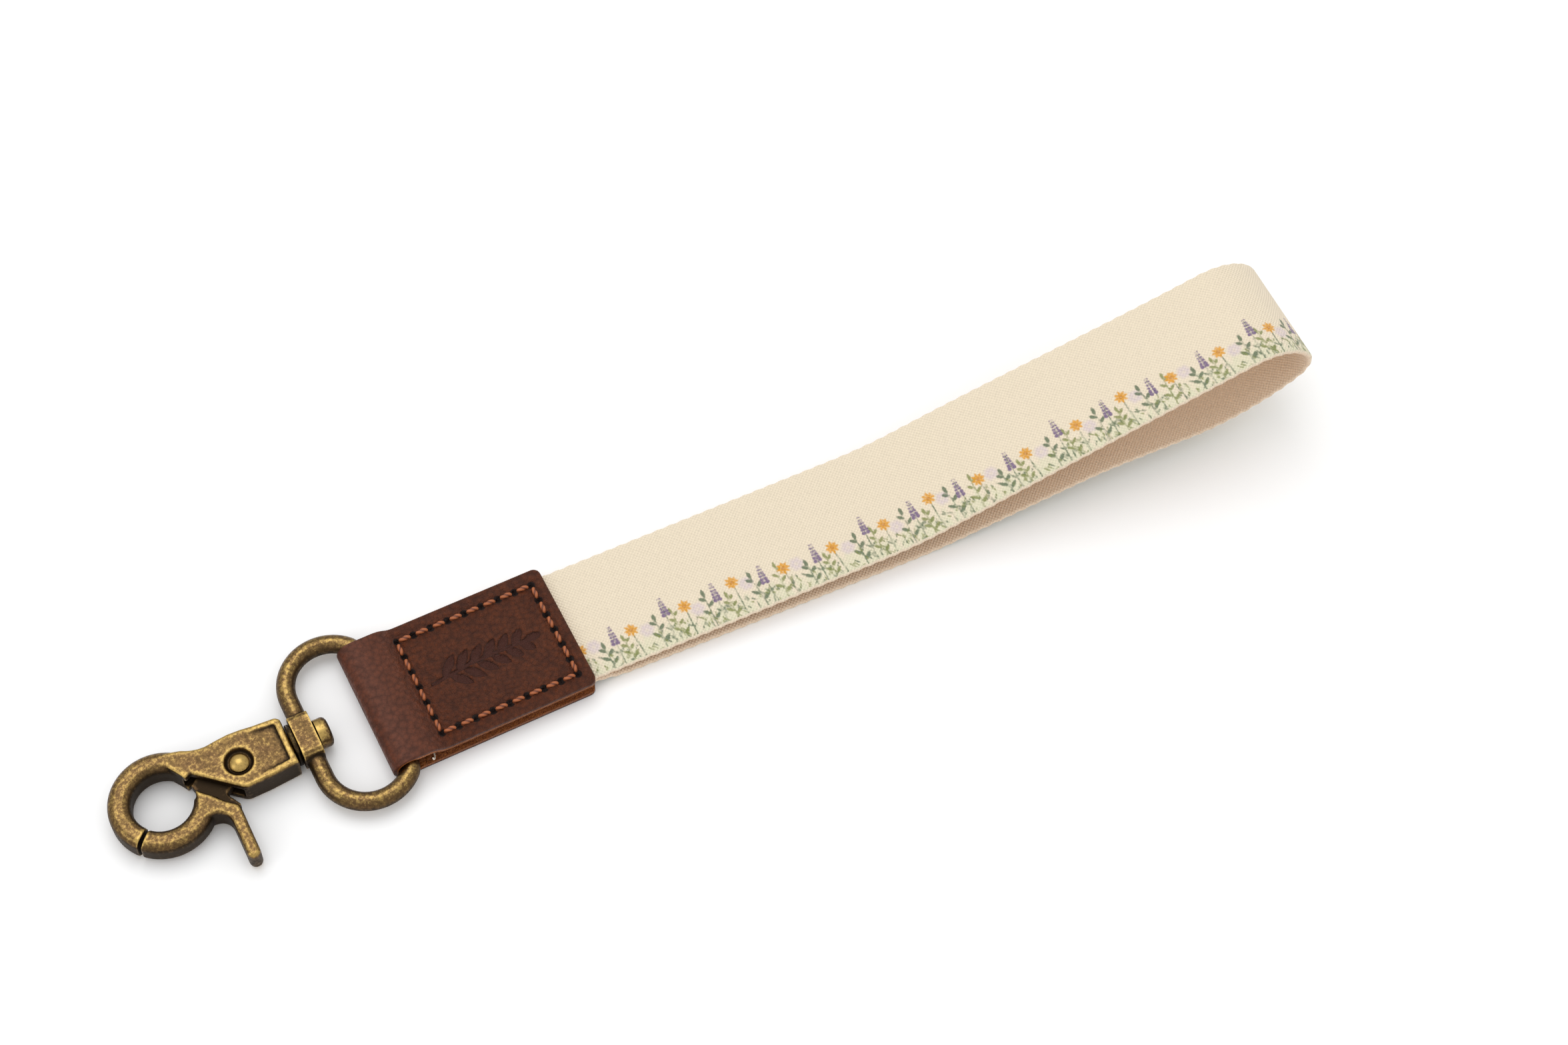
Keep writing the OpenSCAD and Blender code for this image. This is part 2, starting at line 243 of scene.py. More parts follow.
# %% The strap's route
STRAP_W, STRAP_T = 25.0, 1.2
HIDE_T, TAB_L, TAB_W, PLY_GAP = 1.35, 43.0, 28.0, 0.1
FOLD_X = -TAB_L / 2
MOUTH_X = TAB_L / 2 + 0.5
STRAP_END_X = FOLD_X + 12
LIFT_X, BEND_X, BEND_Z = 90.0, 155.8, 6.85
STRAP_YAW = math.radians(-2.3)
LOW_Z = HIDE_T + STRAP_T / 2
HIGH_Z = LOW_Z + STRAP_T + PLY_GAP
DIP_R, LIFT_R, LIFT, EASE_R, SLOPE, EASY = 12.0, 80.0, 9.0, 60.0, 16.4, 2.5

dip = math.degrees(math.acos(1 - (LOW_Z - STRAP_T / 2) / 2 / DIP_R))
rise = BEND_Z - STRAP_T / 2 - 2 * LIFT_R * (1 - math.cos(math.radians(LIFT)))
lower_run = [
    ("run", MOUTH_X - STRAP_END_X), ("bend", DIP_R, -dip), ("bend", DIP_R, dip),
    ("run", LIFT_X - MOUTH_X - 2 * DIP_R * math.sin(math.radians(dip))),
    ("bend", LIFT_R, LIFT), ("run", rise / math.sin(math.radians(LIFT))), ("bend", LIFT_R, -LIFT),
]
start = (STRAP_END_X, LOW_Z, 0.0)
lower_end_x = walk(start, lower_run, 1.0)[1][-1]
round_end = [("run", BEND_X - lower_end_x), ("bend", 37, 40), ("bend", 5.3, 80),
             ("bend", 12.5, 60 + SLOPE)]
top_x, top_z = walk(start, lower_run + round_end, 1.0)[1:3, -1]

steep, gentle = math.radians(SLOPE), math.radians(EASY)
fall_z = top_z - HIGH_Z - EASE_R * (1 - math.cos(steep))
fall_x = top_x - MOUTH_X - EASE_R * math.sin(steep)
det = math.sin(steep - gentle)
upper_run = [
    ("run", (fall_z * math.cos(gentle) - fall_x * math.sin(gentle)) / det),
    ("bend", EASE_R, EASY - SLOPE),
    ("run", (fall_x * math.sin(steep) - fall_z * math.cos(steep)) / det),
    ("bend", EASE_R, -EASY), ("run", MOUTH_X - STRAP_END_X),
]
strap_trail = walk(start, lower_run + round_end + upper_run, 0.2)
strap_l = strap_trail[0][-1]
print("strap length in mm:", round(strap_l, 1))

# %% The strap's closed section, in mm across and mm up from the middle of the cloth
edge_r = STRAP_T / 2
PRINT_TOP, PRINT_STEP = 15.0, 0.3
front, back = -STRAP_W / 2 + edge_r, STRAP_W / 2 - edge_r
printed = np.arange(front, front + PRINT_TOP, PRINT_STEP)
plain = np.linspace(front + PRINT_TOP, back, 7)
outer = [(y, -edge_r) for y in np.concatenate([printed, plain])]
bends = [math.radians(a) for a in (-60, -30, 0, 30, 60)]
rear_edge = [(back + edge_r * math.cos(a), edge_r * math.sin(a)) for a in bends]
inner = [(y, edge_r) for y in np.linspace(back, front, 9)]
front_edge = [(front - edge_r * math.cos(a), -edge_r * math.sin(a)) for a in bends]
strap_section = outer + rear_edge + inner + front_edge + outer[:1]
print("points round the strap's section:", len(strap_section))

# %% [markdown]
# ## The printed border
# A plain flower border grows from the front edge. Stems stand at even spaces and take
# turns, each a stock shape, and the whole repeats every 44 mm. It is drawn by rule, not
# from an image: each ink is a field that holds the distance to the nearest shape in that
# ink. The shader colours the cloth where the distance is below zero, so edges stay sharp
# between vertices. Blots, strokes and leaves draw every plant.

# %% The inks and the shapes they are drawn with
REPEAT, STEMS = 44.0, 20
INKS = ("grass", "blossom", "fern", "olive", "violet", "gold", "amber")
FAR = 9.0  # stands for a place that no shape reaches


class Border:
    """One repeat of the border, measured in mm along the cloth and up from its front edge."""

    def __init__(self, along, up):
        self.along, self.up = along, up
        self.fields = {ink: np.full(len(along), FAR) for ink in INKS}

    def off(self, u):
        """The distance along the cloth from the nearest repeat of u."""
        return (self.along - u + REPEAT / 2) % REPEAT - REPEAT / 2

    def merge(self, ink, distance):
        """Keeps the nearer of an ink's shapes and a new one."""
        self.fields[ink] = np.minimum(self.fields[ink], distance)

    def blot(self, ink, u, v, r):
        """A round dab."""
        self.merge(ink, np.hypot(self.off(u), self.up - v) - r)

    def stroke(self, ink, u0, v0, u1, v1, w0, w1):
        """A straight brush stroke that goes from width w0 to width w1."""
        du, dv = self.off(u0), self.up - v0
        span = math.hypot(u1 - u0, v1 - v0)
        a, b = (u1 - u0) / span, (v1 - v0) / span
        t = np.clip(du * a + dv * b, 0, span)
        self.merge(ink, np.hypot(du - t * a, dv - t * b) - (w0 + (w1 - w0) * t / span) / 2)

    def leaf(self, ink, u, v, angle, length, width):
        """A pointed leaf from its stalk at (u, v), growing at an angle in degrees."""
        a, b = math.cos(math.radians(angle)), math.sin(math.radians(angle))
        du, dv = self.off(u), self.up - v
        t = du * a + dv * b - length / 2
        r = (length ** 2 / width + width) / 4
        self.merge(ink, np.hypot(t, np.abs(dv * a - du * b) + r - width / 2) - r)


# %% The plants
def daisy(border, u, v, r, foot):
    """A plain daisy: eight petals round a darker eye, on a straight stem."""
    border.stroke("fern", foot, 0.0, u, v - 0.5 * r, 0.42, 0.36)
    for k in range(8):
        border.leaf("gold", u, v, 45 * k, r, 0.45 * r)
    border.blot("amber", u, v, 0.32 * r)


def lavender(border, u, v, foot):
    """A spike of violet buds in pairs, smaller towards the tip."""
    border.stroke("fern", foot, 0.0, u, v, 0.4, 0.3)
    for k in range(6):
        size = 0.5 - 0.05 * k
        for side in (-1, 1):
            border.blot("violet", u + side * size, v - 3.4 + 0.75 * k, size)
    border.leaf("fern", (u + foot) / 2, v * 0.3, 50, 1.8, 0.5)
    border.leaf("fern", (u + foot) / 2, v * 0.3, 130, 1.8, 0.5)


def sprig(border, ink, u, v, lean, leaves, length, width):
    """A stem with leaves in turn to the left and right, and one at its tip."""
    tip = u + v * math.tan(math.radians(lean))
    border.stroke(ink, u, 0.0, tip, v, 0.42, 0.3)
    border.leaf(ink, tip, v - 0.3, 90 - lean, length, width)
    for k in range(leaves):
        t = (k + 1) / (leaves + 0.6)
        side = 42 if k % 2 else 138
        border.leaf(ink, u + (tip - u) * t, v * t, side - lean / 2, length * (1.1 - 0.35 * t), width)


def plant_border(border):
    """Stems at even spaces take turns: daisy, olive sprig, lavender, fern sprig, pale tuft."""
    chance = np.random.default_rng(4)
    for k in range(STEMS):
        foot = k * REPEAT / STEMS
        lean = chance.uniform(-0.8, 0.8)
        high = chance.uniform(0.0, 3.0)
        kind = k % 5
        if kind == 0:
            daisy(border, foot + lean, 5.0 + high, 1.6, foot)
        elif kind == 1:
            sprig(border, "olive", foot, 4.6 + high, 9 * lean, 5, 2.1, 0.8)
        elif kind == 2:
            lavender(border, foot + lean, 7.4 + high, foot)
        elif kind == 3:
            sprig(border, "fern", foot, 4.2 + high, 9 * lean, 4, 2.3, 0.9)
        else:
            for j in range(6):
                turn = math.radians(60 * j)
                border.blot("blossom", foot + 0.8 * math.cos(turn), 4.6 + high + 0.8 * math.sin(turn), 0.6)
    for _ in range(120):
        u, v = chance.uniform(0, REPEAT), 3.2 * chance.random() ** 1.4
        ink = ("fern", "olive")[int(chance.integers(2))]
        border.leaf(ink, u, v, chance.uniform(35, 145), chance.uniform(1.0, 2.0), 0.46)
    for _ in range(80):
        u = chance.uniform(0, REPEAT)
        border.stroke("grass", u, 0.0, u + chance.uniform(-1.2, 1.2), chance.uniform(2.0, 4.6), 1.1, 0.4)


# %% Draw the strap
strap_rows = np.linspace(0.0, strap_l, int(strap_l / 0.34))
bm, s, y, n = rolled_grid(strap_rows, strap_section)

# The weft turns round the edge every 2.75 mm, which leaves a shallow scallop
scallop = np.clip(np.abs(y) - 11.6, 0, 1) / 0.9
y = y + np.sign(y) * 0.1 * scallop * np.sin(2 * math.pi * s / 2.75)
x, z = on_route(strap_trail, s, n)

# Towards its end the loop leans back: its rear edge lies lower and reaches further
lean = np.clip((x - 100.0) / 65.0, 0, 1)
lean = lean * lean * (3 - 2 * lean) * (y / STRAP_W + 0.5)
x, z = x + 1.1 * lean, z - 2.4 * lean
yaw_x = MOUTH_X + (x - MOUTH_X) * math.cos(STRAP_YAW) - y * math.sin(STRAP_YAW)
yaw_y = (x - MOUTH_X) * math.sin(STRAP_YAW) + y * math.cos(STRAP_YAW)

border = Border(s, y + STRAP_W / 2)
plant_border(border)
layers = {"along": s, "across": y, "height": n}
for ink in INKS:
    layers["ink_" + ink] = np.where(n < -0.5, border.fields[ink], FAR)
close_sleeve(bm, yaw_x, yaw_y, z, layers)
print("rows along the strap:", len(strap_rows))

# %% [markdown]
# ## The webbing's finish
# It is dyed and sublimation-printed polyester: a fine matt weave, cream outside and a
# plain beige inside. The real threads are about 0.4 mm apart. A weave that fine would
# blur away, so it is drawn at 0.8 mm, with one bump where warp and weft cross. The print
# soaks into the cloth, so inks only tint it, and a little noise roughens their edges.

# %% Webbing material
WEAVE_MM, SOAK_MM = 0.8, 0.06
webbing, tree, shader = new_material("woven_polyester_webbing_printed")
value = {name: add(tree, "Attribute", {}, attribute_name=name).outputs["Fac"] for name in layers}

# sin(along) times sin(across) gives the over-and-under of a plain weave
turn_per_mm = 2 * math.pi / WEAVE_MM
warp = add(tree, "Math", {0: value["along"], 1: turn_per_mm}, operation="MULTIPLY")
weft = add(tree, "Math", {0: value["across"], 1: turn_per_mm}, operation="MULTIPLY")
warp = add(tree, "Math", {0: warp}, operation="SINE")
weft = add(tree, "Math", {0: weft}, operation="SINE")
weave = add(tree, "Math", {0: warp, 1: weft}, operation="MULTIPLY")
place = add(tree, "CombineXYZ", {"X": value["along"], "Y": value["across"], "Z": value["height"]})
fuzz = add(tree, "TexNoise", {"Vector": place, "Scale": 2.2, "Detail": 3.0})
lumps = add(tree, "Math", {0: weave, 1: fuzz}, operation="ADD")

# Outside cream, inside beige; the height runs from -0.6 mm outside to +0.6 mm inside
inside = add(tree, "MapRange", {"Value": value["height"], "From Min": -0.45, "From Max": 0.1})
ground = add(tree, "Mix", {FACTOR: inside, COLOUR_A: "#f1e2c8", COLOUR_B: "#ecd2b6"}, data_type="RGBA")
tint = ground.outputs[COLOUR_OUT]
INK_LOOKS = {  # colour, strength, and how softly it fades at its edge in mm
    "grass": ("#dfe0bd", 0.75, 0.5), "blossom": ("#dccbd2", 0.8, 0.5), "fern": ("#5a6e50", 0.88, 0.12),
    "olive": ("#848c4a", 0.86, 0.12), "violet": ("#6f5684", 0.88, 0.12), "gold": ("#e6a01e", 0.9, 0.12),
    "amber": ("#c97f14", 0.6, 0.12)}
rough = add(tree, "MapRange", {"Value": fuzz, "To Min": -0.16, "To Max": 0.16})
for ink, (colour, strength, soft) in INK_LOOKS.items():
    ragged = add(tree, "Math", {0: value["ink_" + ink], 1: rough}, operation="ADD")
    wet = add(tree, "MapRange", {"Value": ragged, "From Min": soft - SOAK_MM, "From Max": -soft - SOAK_MM,
                                 "To Max": strength})
    dyed = add(tree, "Mix", {FACTOR: wet, COLOUR_A: tint, COLOUR_B: colour}, data_type="RGBA")
    tint = dyed.outputs[COLOUR_OUT]
shade = add(tree, "MapRange", {"Value": lumps, "From Min": -0.6, "From Max": 1.4, "To Min": 0.84,
                               "To Max": 1.02})
cloth_colour = add(tree, "VectorMath", {0: tint, 1: shade}, operation="MULTIPLY")
relief = add(tree, "Bump", {"Height": lumps, "Strength": 0.7, "Distance": 0.00016})
tree.links.new(cloth_colour.outputs[0], shader.inputs["Base Color"])
tree.links.new(relief.outputs[0], shader.inputs["Normal"])
shader.inputs["Roughness"].default_value = 0.88
shader.inputs["Sheen Weight"].default_value = 0.15
shader.inputs["Sheen Roughness"].default_value = 0.5
finish_piece(bm, "wrist_strap", "tab", webbing, "webbing", "strap")

# %% [markdown]
# ## The leather tab
# One strip of vegetable-tanned cowhide, 1.35 mm thick, goes round the ring's bar and is
# sewn through both ends of the strap. Its outside has a fine pebbled grain with a soft
# polish, its cut edges are burnished darker, and the flesh side within is raw tan. The
# thread pulls a shallow channel into it, and each needle leaves a pit. These are real
# relief, so the strip is a sleeve with small faces on its upper side, pressed in by rule.

# %% The hide's route and section
WIRE_D = 3.7
PIN_Z = HIDE_T + WIRE_D / 2 + 0.1
BAR_X = FOLD_X + HIDE_T + WIRE_D / 2 + 0.4
STACK_T = 2 * HIDE_T + 2 * STRAP_T + PLY_GAP
RAMP_X, RAMP_L = FOLD_X + 7.5, 4.5
ramp_turn = 2 * math.atan((2 * PIN_Z - STACK_T) / RAMP_L)
ramp_r = RAMP_L / 2 / math.sin(ramp_turn)
ramp_turn = math.degrees(ramp_turn)
fold_at = FOLD_X + PIN_Z
hide_trail = walk((TAB_L / 2, HIDE_T / 2, math.pi), [
    ("run", TAB_L / 2 - fold_at), ("bend", WIRE_D / 2 + 0.1 + HIDE_T / 2, -180),
    ("run", RAMP_X - fold_at), ("bend", ramp_r, -ramp_turn), ("bend", ramp_r, ramp_turn),
    ("run", TAB_L / 2 - RAMP_X - RAMP_L)], 0.1)
hide_l = hide_trail[0][-1]
LOWER_END, FOLD_MIDDLE, UPPER_START = 39.0, 45.6, 52.5

half_w, half_h, cut_r = TAB_W / 2, HIDE_T / 2, 0.28
outside = [(y, half_h) for y in np.linspace(half_w - cut_r, cut_r - half_w, 138)]
arc = [math.radians(a) for a in (30, 60, 90)]
left_cut = [(cut_r - half_w - cut_r * math.sin(a), half_h - cut_r + cut_r * math.cos(a)) for a in arc]
within = [(y, -half_h) for y in (-half_w, -13.5, -12.9, -8.0, 0.0, 8.0, 12.9, 13.5, half_w)]
right_cut = [(-y, n) for y, n in reversed(left_cut)]
hide_section = outside + left_cut + within + right_cut + outside[:1]
lower_rows = np.linspace(0.0, 39.7, 100)
fold_rows = np.linspace(39.9, 51.0, 40)
upper_rows = np.linspace(51.2, hide_l - 0.3, 182)
hide_rows = np.concatenate([lower_rows, fold_rows, upper_rows, hide_l - np.array([0.2, 0.1, 0.03, 0.0])])
print("hide length in mm:", round(hide_l, 1), "rows:", len(hide_rows))

# %% The seam, the pits and the pressed sprig
PITCH_MM, LONG, CROSS = 3.6, 8, 6
SEAM_X0 = FOLD_X + 11.4
SEAM_X1 = SEAM_X0 + LONG * PITCH_MM
SEAM_Y = CROSS * PITCH_MM / 2
needle_holes = [(SEAM_X0 + i * PITCH_MM, side * SEAM_Y) for i in range(LONG + 1) for side in (-1, 1)]
needle_holes += [(x, -SEAM_Y + j * PITCH_MM) for j in range(1, CROSS) for x in (SEAM_X0, SEAM_X1)]


def from_seam(x, y):
    """Distance to the stitched rectangle."""
    a = np.abs(x - (SEAM_X0 + SEAM_X1) / 2) - (SEAM_X1 - SEAM_X0) / 2
    b = np.abs(y) - SEAM_Y
    beyond = np.hypot(np.maximum(a, 0), np.maximum(b, 0))
    return np.abs(beyond + np.minimum(np.maximum(a, b), 0))


def from_holes(x, y):
    """Distance to the nearest needle hole."""
    return np.min([np.hypot(x - hx, y - hy) for hx, hy in needle_holes], axis=0)


def from_sprig(x, y):
    """Signed distance to the sprig pressed into the middle of the tab."""
    mark = Border(x - 4.2, y - 0.3)
    mark.stroke("fern", -11.6, -1.0, -3.0, 0.2, 0.6, 0.7)
    mark.stroke("fern", -3.0, 0.2, 8.6, 0.0, 0.7, 0.5)
    mark.leaf("fern", 8.2, 0.0, 4, 3.6, 1.6)
    for k in range(6):
        u = -9.2 + 3.0 * k
        mark.leaf("fern", u, -0.5 + 0.1 * k, 46, 5.4 - 0.3 * k, 1.7)
        mark.leaf("fern", u + 1.3, -0.5 + 0.1 * k, -44, 5.0 - 0.3 * k, 1.7)
    return mark.fields["fern"]


# %% Draw the leather tab
bm, s, y, n = rolled_grid(hide_rows, hide_section)
middle_x, _ = on_route(hide_trail, s, 0.0 * n)
skin = np.clip(n / half_h, 0, 1) ** 2

# Round the two free corners, and ease the skin down to the cut ends
to_end = np.minimum(s, hide_l - s)
corner = 1.5 - np.sqrt(np.clip(1.5 ** 2 - np.clip(1.5 - to_end, 0, None) ** 2, 0, None))
y = y * (half_w - corner) / half_w
n = n - skin * 0.18 * np.clip(1 - to_end / 0.3, 0, 1) ** 2

sewn = (s < LOWER_END) | (s > UPPER_START)
seam, pits = from_seam(middle_x, y), from_holes(middle_x, y)
pressed = from_sprig(middle_x, y)
top = s > UPPER_START
press = 0.16 * np.exp(-(seam / 0.8) ** 2) + 0.75 * np.exp(-(pits / 0.5) ** 2)
mark_depth = 0.42 / (1 + np.exp(np.clip(pressed / 0.07, -30, 30)))
n = n - skin * (np.where(sewn, press, 0) + np.where(top, mark_depth, 0))
x, z = on_route(hide_trail, s, n)

# The fold's two mouths open out round the ring's bends
rx, rz = x - BAR_X, z - PIN_Z
radius = np.hypot(rx, rz)
mouth = WIRE_D / 2 + 0.1 + 0.65 * np.clip((np.abs(y) - 12.9) / 1.1, 0, 1)
pushed = np.where((np.abs(y) > 12.91) & (radius < mouth), mouth / np.maximum(radius, 0.1), 1.0)
x, z = BAR_X + rx * pushed, PIN_Z + rz * pushed
hide_layers = {
    "along": s, "across": y, "height": n,
    "pit": np.where(sewn & (skin > 0.3), pits, FAR),
    "pressed": np.where(top & (skin > 0.3), pressed, FAR),
}
close_sleeve(bm, x, y, z, hide_layers)

# %% [markdown]
# ## The leather's finish
# Pull-up leather is tanned with oil and wax. It is a deep reddish brown with a satin
# sheen, lighter and redder where it is stretched over the fold. Its pebble grain is made
# of small cells about 0.6 mm wide, drawn at 1 mm so that it shows. A Voronoi pattern on
# the hide's own coordinates gives the relief, and slow noise clouds the colour.

# %% Leather material
leather, tree, shader = new_material("oiled_cowhide_pebbled")
value = {name: add(tree, "Attribute", {}, attribute_name=name).outputs["Fac"] for name in hide_layers}
place = add(tree, "CombineXYZ", {"X": value["along"], "Y": value["across"], "Z": value["height"]})
GRAIN_MM = 1.0
cells = add(tree, "TexVoronoi", {"Vector": place, "Scale": 1 / GRAIN_MM}, feature="F1")
pores = add(tree, "TexNoise", {"Vector": place, "Scale": 4.0, "Detail": 4.0})
clouds = add(tree, "TexNoise", {"Vector": place, "Scale": 0.22, "Detail": 3.0})
grain = add(tree, "Math", {0: pores, 1: cells}, operation="SUBTRACT")

# The grain is stretched flat round the fold
to_fold = add(tree, "Math", {0: value["along"], 1: FOLD_MIDDLE}, operation="SUBTRACT")
to_fold = add(tree, "Math", {0: to_fold}, operation="ABSOLUTE")
stretched = add(tree, "MapRange", {"Value": to_fold, "From Min": 12.0, "From Max": 3.0})
oiled = add(tree, "Mix", {FACTOR: clouds, COLOUR_A: "#481e0a", COLOUR_B: "#6b3517"}, data_type="RGBA")
warm = add(tree, "Mix", {FACTOR: stretched, COLOUR_A: oiled.outputs[COLOUR_OUT], COLOUR_B: "#57270e"},
           data_type="RGBA")
dent = add(tree, "MapRange", {"Value": value["pressed"], "From Min": 0.18, "From Max": -0.05,
                              "To Max": 0.95})
dark = add(tree, "Mix", {FACTOR: dent, COLOUR_A: warm.outputs[COLOUR_OUT], COLOUR_B: "#26110a"},
           data_type="RGBA")

# Height picks out the skin, the burnished cut and the raw flesh side
valley = add(tree, "MapRange", {"Value": grain, "From Min": -0.35, "From Max": 0.35, "To Min": 0.6,
                                "To Max": 1.16})
skin_colour = add(tree, "VectorMath", {0: dark.outputs[COLOUR_OUT], 1: valley}, operation="MULTIPLY")
cut = add(tree, "MapRange", {"Value": value["height"], "From Min": 0.5, "From Max": 0.38})
flesh = add(tree, "MapRange", {"Value": value["height"], "From Min": 0.1, "From Max": -0.1})
edged = add(tree, "Mix", {FACTOR: cut, COLOUR_A: skin_colour, COLOUR_B: "#4e2a20"}, data_type="RGBA")
fibres = add(tree, "MapRange", {"Value": pores, "From Min": 0.35, "From Max": 0.65})
raw = add(tree, "Mix", {FACTOR: fibres, COLOUR_A: "#6e3410", COLOUR_B: "#a9642a"}, data_type="RGBA")
whole = add(tree, "Mix", {FACTOR: flesh, COLOUR_A: edged.outputs[COLOUR_OUT],
                          COLOUR_B: raw.outputs[COLOUR_OUT]}, data_type="RGBA")
# Painted shade: the needle pits are coloured near black, where the holes fall into shade
pit_shade = add(tree, "MapRange", {"Value": value["pit"], "From Min": 0.95, "From Max": 0.75})
with_pit_shade = add(tree, "Mix", {FACTOR: pit_shade, COLOUR_A: whole.outputs[COLOUR_OUT], COLOUR_B: "#1b0a05"},
            data_type="RGBA")
depth = add(tree, "MapRange", {"Value": stretched, "To Min": 0.8, "To Max": 0.25})
relief = add(tree, "Bump", {"Height": grain, "Strength": depth, "Distance": 0.0011})
gloss = add(tree, "MapRange", {"Value": grain, "From Min": -0.35, "From Max": 0.35, "To Min": 0.62,
                               "To Max": 0.4})
tree.links.new(with_pit_shade.outputs[COLOUR_OUT], shader.inputs["Base Color"])
tree.links.new(relief.outputs[0], shader.inputs["Normal"])
tree.links.new(gloss.outputs[0], shader.inputs["Roughness"])
shader.inputs["IOR"].default_value = 1.48
shader.inputs["Specular IOR Level"].default_value = 0.36
finish_piece(bm, "leather_fold", "tab", leather, "leather", "leather_tab")

# %% [markdown]
# ## The stitches
# The seam is sewn with waxed thread of two plies twisted together. Each stitch lies in its
# channel and dives into a needle hole at both ends. One stitch is a short sleeve whose
# section is an oval that turns along its length, as two plies do. It is copied to each
# place, on the top and on the underside.

# %% One twisted thread along a line of points
def twisted_thread(points, radius, lay, spacing):
    """A two-ply thread of mean radius `radius` along a smooth line; `lay` is one full twist."""
    points = np.asarray(points, dtype=float)
    reach = np.concatenate([[0.0], np.cumsum(np.linalg.norm(np.diff(points, axis=0), axis=1))])
    rows = np.linspace(0.0, reach[-1], max(4, int(reach[-1] / spacing)))
    around = [(2 * math.pi * k / 12, 1.0) for k in range(13)]
    bm, s, turn, _ = rolled_grid(rows, around)
    middle = np.stack([np.interp(s, reach, line) for line in points.T])
    ahead = np.stack([np.interp(s + 0.05, reach, line) for line in points.T])
    behind = np.stack([np.interp(s - 0.05, reach, line) for line in points.T])
    along = (ahead - behind) / np.linalg.norm(ahead - behind, axis=0)
    flank = np.stack([-along[1], along[0], 0 * s])
    flank = np.where(np.linalg.norm(flank, axis=0) > 0.05, flank, np.array([[0.0], [1.0], [0.0]]))
    flank = flank / np.linalg.norm(flank, axis=0)
    rise = np.cross(along, flank, axis=0)
    taper = np.sqrt(np.clip(np.minimum(s, reach[-1] - s) / radius, 0.12, 1.0))
    ply = np.cos(2 * (turn - 2 * math.pi * s / lay))
    r = radius * taper * (1 + 0.17 * ply)
    x, y, z = middle + flank * (r * np.cos(turn)) + rise * (r * np.sin(turn))
    close_sleeve(bm, x, y, z, {"ply": ply})
    return bm


# %% Sew the seam
THREAD_R, STITCH_HALF = 0.42, 1.2
bow = [(u, 0.0, 0.12 - 0.5 * abs(u / STITCH_HALF) ** 3) for u in np.linspace(-STITCH_HALF, STITCH_HALF, 15)]
one = twisted_thread(bow, THREAD_R, 2.6, 0.22)
stitch_mesh = bpy.data.meshes.new("one_stitch")
one.to_mesh(stitch_mesh)
one.free()

places = [(SEAM_X0 + (i + 0.5) * PITCH_MM, side * SEAM_Y, 0) for i in range(LONG) for side in (-1, 1)]
places += [(x, -SEAM_Y + (j + 0.5) * PITCH_MM, 90) for j in range(CROSS) for x in (SEAM_X0, SEAM_X1)]
bm = bmesh.new()
for x, y, turn in places:
    for height, flip in ((STACK_T, 0), (0.38, 180)):
        before = len(bm.verts)
        bm.from_mesh(stitch_mesh)
        bm.verts.ensure_lookup_table()
        put = (Matrix.Translation((x, y, height)) @ Matrix.Rotation(math.radians(turn), 4, "Z")
               @ Matrix.Rotation(math.radians(flip), 4, "X"))
        bmesh.ops.transform(bm, matrix=put, verts=bm.verts[before:])
bpy.data.meshes.remove(stitch_mesh)

# %% Thread materials
def thread_finish(name, light, dark):
    """Waxed polyester thread: satin plies, with painted shade in the groove where they meet."""
    made, tree, shader = new_material(name)
    ply = add(tree, "Attribute", {}, attribute_name="ply").outputs["Fac"]
    where = add(tree, "TexCoord", {}).outputs["Object"]
    fibre = add(tree, "TexNoise", {"Vector": where, "Scale": 5000.0, "Detail": 2.0})
    # Painted shade: the colour darkens in the groove between the two plies
    ply_groove_shade = add(tree, "MapRange", {"Value": ply, "From Min": -0.9, "From Max": 0.3})
    colour = add(tree, "Mix", {FACTOR: ply_groove_shade, COLOUR_A: dark, COLOUR_B: light}, data_type="RGBA")
    relief = add(tree, "Bump", {"Height": fibre, "Strength": 0.35, "Distance": 0.00006})
    tree.links.new(colour.outputs[COLOUR_OUT], shader.inputs["Base Color"])
    tree.links.new(relief.outputs[0], shader.inputs["Normal"])
    shader.inputs["Roughness"].default_value = 0.55
    return made


waxed = thread_finish("waxed_polyester_thread", "#a35a30", "#5f2c14")
finish_piece(bm, "tab_stitches", "tab", waxed, "thread", "tab_stitching")

tail_x, tail_y = FOLD_X + 8.4, -TAB_W / 2
tail = [(tail_x + u, tail_y + v, z) for u, v, z in (
    (0.6, 2.6, 1.9), (0.5, 1.6, 1.8), (0.3, 0.7, 1.9), (0, 0.1, 2.3), (-0.3, -0.2, 3), (-0.4, -0.2, 3.8))]
white = thread_finish("undyed_polyester_thread", "#efe6d8", "#b9a98f")
finish_piece(twisted_thread(tail, 0.16, 0.9, 0.12), "loose_thread", "tab", white, "white_thread",
             "thread_tail")

# %% [markdown]
# ## The castings
# The ring's boss, the hook and its gate are zinc castings: every edge is soft and every
# inside corner is filled. Bevels on single edges would miss the places where shapes run
# into each other. So a few plain solids are joined and cut by Boolean modifiers, then
# remeshed into even small faces and smoothed. That rounds all edges alike, as a mould does.


